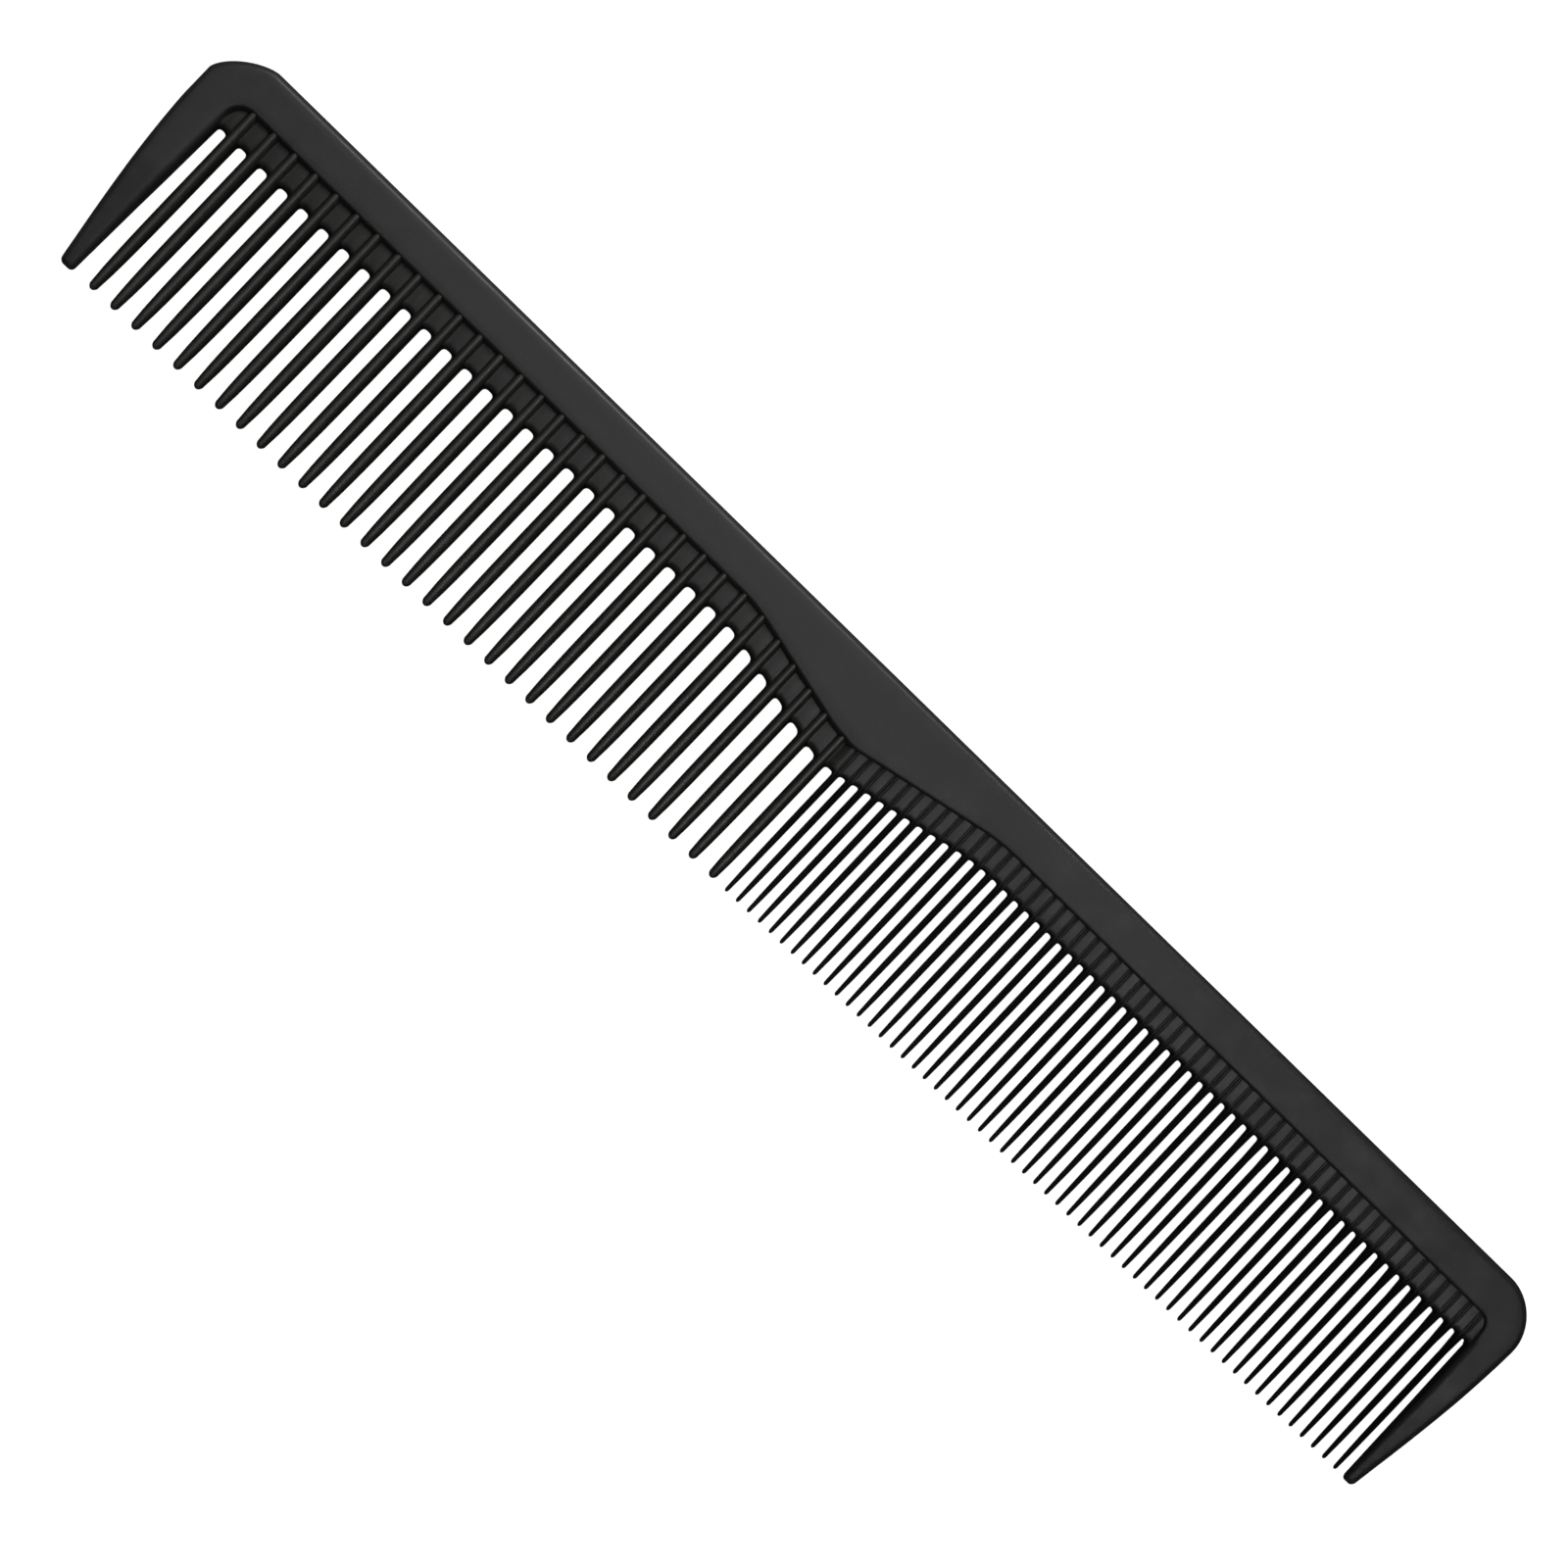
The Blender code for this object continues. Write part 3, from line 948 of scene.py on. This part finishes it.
@dataclass
class ToothCell:
    """A tooth, its rib and its share of the sunk web, as one skin over rings."""

    plan: CombPlan
    tooth: Tooth
    embed: float = 0.7 * MM
    root_fade: float = 2.2 * MM
    rib_column_power: float = 0.8
    web_column_power: float = 1.5
    web_shares: tuple[float, ...] = (0.0, 0.2, 0.5, 0.8, 0.89, 0.93, 0.96, 0.982, 0.995, 1.0)
    nose_shares: tuple[float, ...] = (0.75, 0.5, 0.3, 0.14, 0.05, 0.012)
    root_hold: float = 0.25
    edge_square: int = 10
    edge_round: float = 0.4
    edge_least: float = 0.25
    rib_reach: float = 1.0001
    nose_thinning: float = 0.9

    def columns(self) -> tuple[np.ndarray, np.ndarray]:
        """Where a half section's points lie, from the axis to the edge.

        Returns:
            Shares of the tooth's half width, then shares of the web beyond it, for the
            web's stations; and shares of the whole half width for the free tooth's.
        """
        pattern = self.tooth.pattern
        rib = np.linspace(0, 1, pattern.rib_columns) ** self.rib_column_power
        web = np.linspace(0, 1, pattern.web_columns + 1)[1:]
        web = 1 - (1 - web) ** self.web_column_power
        total = pattern.rib_columns + pattern.web_columns
        free = np.sin(np.linspace(0, RIGHT_ANGLE, total))
        return np.concatenate((rib, 1 + web)), free

    def half_width(self, above_tip: np.ndarray, root: float) -> np.ndarray:
        """Half width of the free tooth.

        It is the root's less an exponential of the height above the tip, which a power
        brings to nothing at the root, and the last stretch closes in a round nose.

        Args:
            above_tip: heights above the tip.
            root: height of the root above the tip.

        Returns:
            Half the width at each height.
        """
        pattern = self.tooth.pattern
        left = np.exp(-above_tip / pattern.taper_reach)
        left = left * np.clip((root - above_tip) / root, 0, 1) ** self.root_hold
        nose = np.clip(1 - above_tip / pattern.tip_round, 0, 1)
        full = self.tooth.half - (self.tooth.half - pattern.tip_width / 2) * left
        return full * np.sqrt(1 - nose**2)

    def grid(self) -> tuple[np.ndarray, np.ndarray, np.ndarray, int]:
        """X and Y of every point of the upper skin, from the right edge to the left.

        Above the slot roots the edges stand at the slots' middles. Down the arched roots
        they close in on the tooth, and below they follow its narrowing flanks.

        Returns:
            X, Y and the half width of the tooth at each point, shaped (stations,
            points), and the number of stations above the slot roots.
        """
        plan, tooth, pattern = self.plan, self.tooth, self.tooth.pattern
        middle = tooth.middle
        web_shares, free_shares = self.columns()
        turn = np.linspace(0, RIGHT_ANGLE, pattern.arch_steps + 1)[1:]
        nose = np.array(self.nose_shares) * pattern.tip_round
        free = np.linspace(1, 0, pattern.free_steps + 1)[1:-1]
        above = np.array(self.web_shares)
        sides = []
        for sign, slot in ((1, tooth.right), (-1, tooth.left)):
            crown = float(plan.gullet(np.array(slot.middle)))
            arch_x, arch_y = plan.arch(slot, sign, turn)
            length = arch_y[-1] - plan.tip_height
            level = np.concatenate((free * (length - pattern.tip_round) + pattern.tip_round, nose))
            free_half = self.half_width(level, length)
            reach = np.full(len(above), abs(slot.middle - middle))
            edge = np.concatenate((reach, sign * (arch_x - middle), free_half))
            root_half = np.concatenate((np.full(len(above) + len(turn), tooth.half), free_half))
            share = np.clip(web_shares, 0, 1)[None] * root_half[:, None]
            web_x = share + np.clip(web_shares - 1, 0, 1)[None] * (edge - root_half)[:, None]
            free_x = free_shares[None] * edge[:, None]
            blend = np.concatenate((np.zeros(len(above)), np.sin(turn), np.ones(len(level))))
            offset = web_x + blend[:, None] * (free_x - web_x)
            outward = offset / np.maximum(edge[:, None], TINY)
            base = np.concatenate((np.full(len(above), crown), arch_y, plan.tip_height + level))
            root_half = np.broadcast_to(root_half[:, None], offset.shape)
            sides.append((middle + sign * offset, base, outward, root_half))
        mean_base = (sides[0][1] + sides[1][1]) / 2
        drop = np.concatenate((above, np.ones(len(mean_base) - len(above))))[:, None]
        halves = []
        for x, base, outward, root_half in sides:
            level_y = mean_base[:, None] + outward * (base - mean_base)[:, None]
            top = plan.border(x) + self.embed
            halves.append((x, level_y * drop + top * (1 - drop), root_half))
        joined = [np.concatenate((right[:, ::-1], left[:, 1:]), 1) for right, left in zip(*halves)]
        return *joined, len(above)

    def edge_distance(self, x: np.ndarray, y: np.ndarray, tooth_half: np.ndarray) -> np.ndarray:
        """Distance in from the nearest slot, over its arched root or beside its flank.

        Args:
            x, y, tooth_half: what grid gives.

        Returns:
            The distance at each point, never below 0.
        """
        tooth, full = self.tooth, self.plan.arch_fullness
        found = []
        for sign, slot in ((1, tooth.right), (-1, tooth.left)):
            across = np.abs(x - slot.middle) / slot.radius
            up = (y - self.plan.gullet(x)) / slot.radius + 1
            over = slot.radius * ((across**full + np.clip(up, 0, None) ** full) ** (1 / full) - 1)
            beside = tooth_half - sign * (x - tooth.middle)
            found.append(np.where(up > 0, over, beside))
        return np.maximum(np.minimum(*found), 0.0)

    def height(self, x: np.ndarray, y: np.ndarray, tooth_half: np.ndarray) -> np.ndarray:
        """Half thickness over the plan.

        Across its width the tooth is flat at the crest, then falls by a power of the
        distance to a rounded edge. The web is a plate whose edge is rounded by a quarter
        ellipse, with a bell-shaped groove along the rib, and it fades out below the slot
        roots. The two are joined by a smooth maximum, which leaves a small fillet at the
        rib's foot.

        Args:
            x, y, tooth_half: what grid gives.

        Returns:
            Half the thickness at each point.
        """
        plan, tooth, pattern = self.plan, self.tooth, self.tooth.pattern
        crest = plan.crest_height(y)
        offset = np.abs(x - tooth.middle)
        out = np.clip(offset / np.maximum(tooth_half, TINY), 0, 1)
        beyond = np.clip((out - pattern.crest_flat) / (1 - pattern.crest_flat), 0, 1)
        flank = 1 - (1 - pattern.edge_share) * beyond**pattern.flank_power
        edge = np.maximum((1 - out**self.edge_square) ** self.edge_round, self.edge_least)
        rib = np.where(offset > tooth_half * self.rib_reach, 0.0, crest * flank * edge)
        nose = np.clip(1 - (y - plan.tip_height) / pattern.tip_round, 0, 1)
        rib = rib * np.sqrt(1 - nose**2 * self.nose_thinning)
        radius = pattern.web_edge_round
        inward = np.clip(radius - self.edge_distance(x, y, tooth_half), 0, radius)
        edge_fall = radius - np.sqrt(radius**2 - inward**2)
        groove = np.exp(-((offset / pattern.groove_reach) ** 2))
        plate = plan.web_half(x, y) - pattern.web_edge_depth * edge_fall
        plate = plate - pattern.groove_depth * groove
        root = plan.gullet(np.array(tooth.middle)) - (tooth.left.radius + tooth.right.radius) / 2
        plate = plate * ease(1 + (y - root) / self.root_fade)
        gap = rib - plate
        return (rib + plate + np.sqrt(gap**2 + pattern.foot_round**2)) / 2

    def add_to(self, shell: Shell, open_left: bool, open_right: bool, rows: int = 0) -> None:
        """Adds the cell's skin to a piece.

        Args:
            shell: the piece.
            open_left, open_right: leave out the web's side where the next cell joins on.
            rows: stations to keep, from the top; 0 keeps all.
        """
        x, y, tooth_half, above = self.grid()
        z = self.height(x, y, tooth_half)
        out = np.abs(x - self.tooth.middle) / np.maximum(tooth_half, TINY)
        # Ridge value across the tooth, strongest on the axis: it places the painted highlight on the
        # crest.
        ridge = np.clip(1 - out, 0, 1) * self.tooth.pattern.crest_highlight
        if rows:
            x, y, z, ridge = x[:rows], y[:rows], z[:rows], ridge[:rows]
        stations, points = x.shape
        skip = np.zeros((stations - 1, 2 * points), bool)
        skip[: above - 1, 2 * points - 1] = open_right
        skip[: above - 1, points - 1] = open_left
        shell.add_section((x, y, z), ridge, skip)


@dataclass
class ToothRows:
    """All the teeth, laid out between the guards."""

    plan: CombPlan
    coarse_edge: float
    fine_edge: float
    coarse_end_slot: float = 1.05 * MM
    change_slot: float = 0.98 * MM
    fine_end_slot: float = 0.56 * MM
    group: int = 4

    def row(self, first: float, last: float, pattern: ToothPattern) -> list[tuple[float, float]]:
        """Left and right side of each tooth of a row.

        The middles are evenly spaced near the pitch, then shifted by a parabola that is
        the pattern's spread high in the middle of the row.

        Args:
            first, last: X of the first and the last tooth's middle.
            pattern: what the row's teeth share.

        Returns:
            X of both sides, for each tooth.
        """
        count = round((last - first) / pattern.pitch) + 1
        share = np.linspace(0, 1, count)
        middle = first + share * (last - first) + pattern.spread * 4 * share * (1 - share)
        half = (pattern.first_width + share * (pattern.last_width - pattern.first_width)) / 2
        return list(zip((middle - half).tolist(), (middle + half).tolist()))

    def teeth(self) -> list[Tooth]:
        """Every tooth in order, coarse first.

        Returns:
            The teeth, each with the slots at its two sides.
        """
        coarse, fine = COARSE_PATTERN, FINE_PATTERN
        coarse_first = self.coarse_edge + self.coarse_end_slot + coarse.first_width / 2
        coarse_last = self.plan.dip_x
        fine_first = coarse_last + (coarse.last_width + fine.first_width) / 2 + self.change_slot
        fine_last = self.fine_edge - self.fine_end_slot - fine.last_width / 2
        coarse_row = self.row(coarse_first, coarse_last, coarse)
        sides = coarse_row + self.row(fine_first, fine_last, fine)
        edges = [self.coarse_edge] + [x for pair in sides for x in pair] + [self.fine_edge]
        slots = [Slot(*pair) for pair in zip(edges[0::2], edges[1::2])]
        return [
            Tooth(coarse if index < len(coarse_row) else fine, slots[index], slots[index + 1])
            for index in range(len(sides))
        ]

    def build_run(self, teeth: list[Tooth], name: str) -> bpy.types.Object:
        """One piece from a run of neighbouring teeth that share their web.

        Args:
            teeth: the run.
            name: the piece's name.

        Returns:
            The piece.
        """
        shell = Shell()
        for index, tooth in enumerate(teeth):
            cell = ToothCell(self.plan, tooth)
            cell.add_to(shell, index > 0, index < len(teeth) - 1)
        return shell.piece(name, self.plan)

    def end_web(self, tooth: Tooth, end: End, name: str) -> bpy.types.Object:
        """The half slot root beside a guard: a cell whose tooth is buried in the guard.

        Args:
            tooth: the guard's neighbour.
            end: the guard's end.
            name: the piece's name.

        Returns:
            The piece.
        """
        slot = tooth.left if end is End.COARSE else tooth.right
        width = 2 * tooth.half
        if end is End.COARSE:
            buried = Tooth(tooth.pattern, Slot(slot.left - 2 * width, slot.left - width), slot)
        else:
            buried = Tooth(tooth.pattern, slot, Slot(slot.right + width, slot.right + 2 * width))
        shell = Shell()
        cell = ToothCell(self.plan, buried)
        cell.add_to(shell, False, False, len(cell.web_shares) + tooth.pattern.arch_steps)
        return shell.piece(name, self.plan)


# ---------------------------------------------------------------- studio


@dataclass(frozen=True)
class SoftBox:
    """A rectangular soft light: its place, what it faces, its size, power and beam."""

    name: str
    place: tuple[float, float, float]
    aim: tuple[float, float, float]
    size: tuple[float, float]
    power: float
    beam: float = math.pi

    def build(self) -> None:
        """Hangs the light in the scene."""
        data = bpy.data.lights.new(self.name, "AREA")
        data.shape = "RECTANGLE"
        data.size, data.size_y = self.size
        data.energy = self.power
        data.spread = self.beam
        made = bpy.data.objects.new(self.name, data)
        bpy.context.scene.collection.objects.link(made)
        made.location = self.place
        facing = Vector(self.place) - Vector(self.aim)
        made.rotation_euler = facing.to_track_quat("Z", "Y").to_euler()


@dataclass
class Studio:
    """Pale floor, soft light and the camera over the comb."""

    plan: CombPlan
    field_width: float = 152.75 * MM
    distance: float = 470.0 * MM
    roll: float = math.radians(43.5)
    tilt: float = math.radians(2.0)
    aim: tuple[float, float] = (-0.41 * MM, -2.35 * MM)
    sensor_width: float = 36.0
    far_clip: float = 20.0
    floor_size: float = 6.0
    paper_grey: float = 0.12
    paper_glow: float = 1.03
    room_light: float = 0.015
    coarse_light: float = -0.325
    fine_light: float = 0.275

    def camera(self) -> None:
        """A long lens whose field is stated at the comb's middle plane.

        Its axes are level with the comb, rolled about Z and then tipped about X.
        """
        data = bpy.data.cameras.new("camera")
        data.sensor_width = self.sensor_width
        data.lens = self.sensor_width * self.distance / self.field_width
        data.clip_end = self.far_clip
        made = bpy.data.objects.new("camera", data)
        bpy.context.scene.collection.objects.link(made)
        aim = Matrix.Translation((*self.aim, self.plan.thickness / 2))
        axes = Matrix.Rotation(self.tilt, 4, "X") @ Matrix.Rotation(self.roll, 4, "Z")
        made.matrix_world = aim @ axes @ Matrix.Translation((0, 0, self.distance))
        bpy.context.scene.camera = made

    def floor(self) -> None:
        """A seamless pale sheet that the camera sees evenly lit."""
        half = self.floor_size / 2
        mesh = bpy.data.meshes.new("floor")
        corners = [(-half, -half, 0), (half, -half, 0), (half, half, 0), (-half, half, 0)]
        mesh.from_pydata(corners, [], [(0, 1, 2, 3)])
        mesh.materials.append(self.floor_finish())
        made = bpy.data.objects.new("floor", mesh)
        bpy.context.scene.collection.objects.link(made)
        made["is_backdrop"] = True

    def floor_finish(self) -> bpy.types.Material:
        """White paper: even and bright to look at, and dim to the comb above it.

        Returns:
            A diffuse material that glows to the camera alone.
        """
        made = bpy.data.materials.new("white_paper")
        made.use_nodes = True
        kit = NodeKit(made.node_tree)
        made.node_tree.nodes.clear()
        out = kit.add("ShaderNodeOutputMaterial")
        paper = kit.add("ShaderNodeBsdfDiffuse", Color=(*[self.paper_grey] * 3, 1.0))
        glow = kit.add("ShaderNodeEmission", Strength=self.paper_glow)
        both = kit.add("ShaderNodeAddShader")
        seen = kit.add("ShaderNodeLightPath").outputs["Is Camera Ray"]
        pick = kit.add("ShaderNodeMixShader")
        for source, target in zip((paper.outputs[0], glow.outputs[0]), both.inputs):
            kit.feed(source, target)
        for source, target in zip((seen, paper.outputs[0], both.outputs[0]), pick.inputs):
            kit.feed(source, target)
        kit.feed(pick.outputs[0], out.inputs["Surface"])
        return made

    def lights(self) -> None:
        """Hangs the soft boxes and sets a dim even room.

        The overhead box lights the faces. back_side turns its light on the coarse half
        from beyond the back, and over_fine hangs above the fine half. low_back and
        low_front light the sides from just above the floor.
        """
        middle = (0, 0, 0)
        coarse = self.coarse_light * self.plan.length
        fine = self.fine_light * self.plan.length
        coarse_aim, fine_aim = (coarse, -0.003, 0), (fine, 0, 0)
        behind, above = (coarse - 0.02, 0.357, 0.40), (fine + 0.075, -0.01, 0.50)
        wide, narrow = math.radians(36), math.radians(34)
        SoftBox("overhead", (0, 0.02, 0.8), middle, (0.6, 0.7), 0.56).build()
        SoftBox("back_side", behind, coarse_aim, (0.1, 0.16), 0.082, narrow).build()
        SoftBox("over_fine", above, fine_aim, (0.12, 0.16), 0.0185, wide).build()
        SoftBox("low_back", (0, 0.55, 0.16), middle, (0.6, 0.15), 0.24).build()
        SoftBox("low_front", (0.25, -0.5, 0.17), middle, (0.9, 0.16), 0.22).build()
        world = bpy.data.worlds.new("room")
        world.use_nodes = True
        background = world.node_tree.nodes["Background"].inputs
        background["Color"].default_value = (1, 1, 1, 1)
        background["Strength"].default_value = self.room_light
        bpy.context.scene.world = world

    def build(self) -> None:
        """Sets up floor, lights and camera, with plain colours."""
        self.floor()
        self.lights()
        self.camera()
        bpy.context.scene.view_settings.view_transform = "Standard"


# ---------------------------------------------------------------- the comb


@dataclass
class Comb:
    """Puts the pieces together and dresses them."""

    plan: CombPlan
    frame: CombFrame
    rows: ToothRows
    spine_plastic: bpy.types.Material
    tooth_plastic: bpy.types.Material

    @classmethod
    def from_frame(cls) -> "Comb":
        """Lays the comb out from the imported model.

        Returns:
            The comb, not yet built.
        """
        plan = CombPlan.from_frame()
        bar = CombFrame(plan)
        rows = ToothRows(plan, bar.guard_edge(End.COARSE), bar.guard_edge(End.FINE))
        groups = EffectGroups.build()
        return cls(plan, bar, rows, SPINE_FINISH.material(groups), SHADED_TOOTH_FINISH.material(groups))

    def dress(
        self, piece: bpy.types.Object, plastic: bpy.types.Material, slot: str, *nodes: str
    ) -> None:
        """Gives a piece its material and its body, and reports it.

        Args:
            piece: the piece.
            plastic: its material.
            slot: not used.
            nodes: the CAD nodes that it stands for.
        """
        piece.data.materials.append(plastic)
        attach(piece, BODY)
        if nodes:
            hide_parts(*nodes)
        LOG.info("%s: %d faces for %s", piece.name, len(piece.data.polygons), nodes or "trim")

    def build(self) -> None:
        """Builds the back with its guards, then every tooth, then the end webs."""
        bar = self.frame.build()
        nodes = ("spine_coarse_half", "spine_fine_half", "guard_coarse_end", "guard_fine_end")
        self.dress(bar, self.spine_plastic, "spine_plastic", *nodes)
        teeth = self.rows.teeth()
        coarse = [tooth for tooth in teeth if tooth.pattern.end is End.COARSE]
        fine = teeth[len(coarse) :]
        for number, tooth in enumerate(coarse, 1):
            piece = self.rows.build_run([tooth], f"coarse_tooth_{number:02d}_moulding")
            self.dress(piece, self.tooth_plastic, "tooth_plastic", f"coarse_tooth_{number:02d}")
        for number, first in enumerate(range(0, len(fine), self.rows.group), 1):
            run = fine[first : first + self.rows.group]
            piece = self.rows.build_run(run, f"fine_teeth_{number:02d}_moulding")
            self.dress(piece, self.tooth_plastic, "tooth_plastic", f"fine_teeth_{number:02d}")
        for end, tooth in ((End.COARSE, teeth[0]), (End.FINE, teeth[-1])):
            piece = self.rows.end_web(tooth, end, f"{end.name.lower()}_end_web")
            self.dress(piece, self.tooth_plastic, "tooth_plastic")


def main() -> None:
    """Builds the comb and its studio."""
    logging.basicConfig(level=logging.INFO, format="%(name)s: %(message)s")
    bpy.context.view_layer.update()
    comb = Comb.from_frame()
    comb.build()
    Studio(comb.plan).build()


if __name__ == "__main__":
    main()
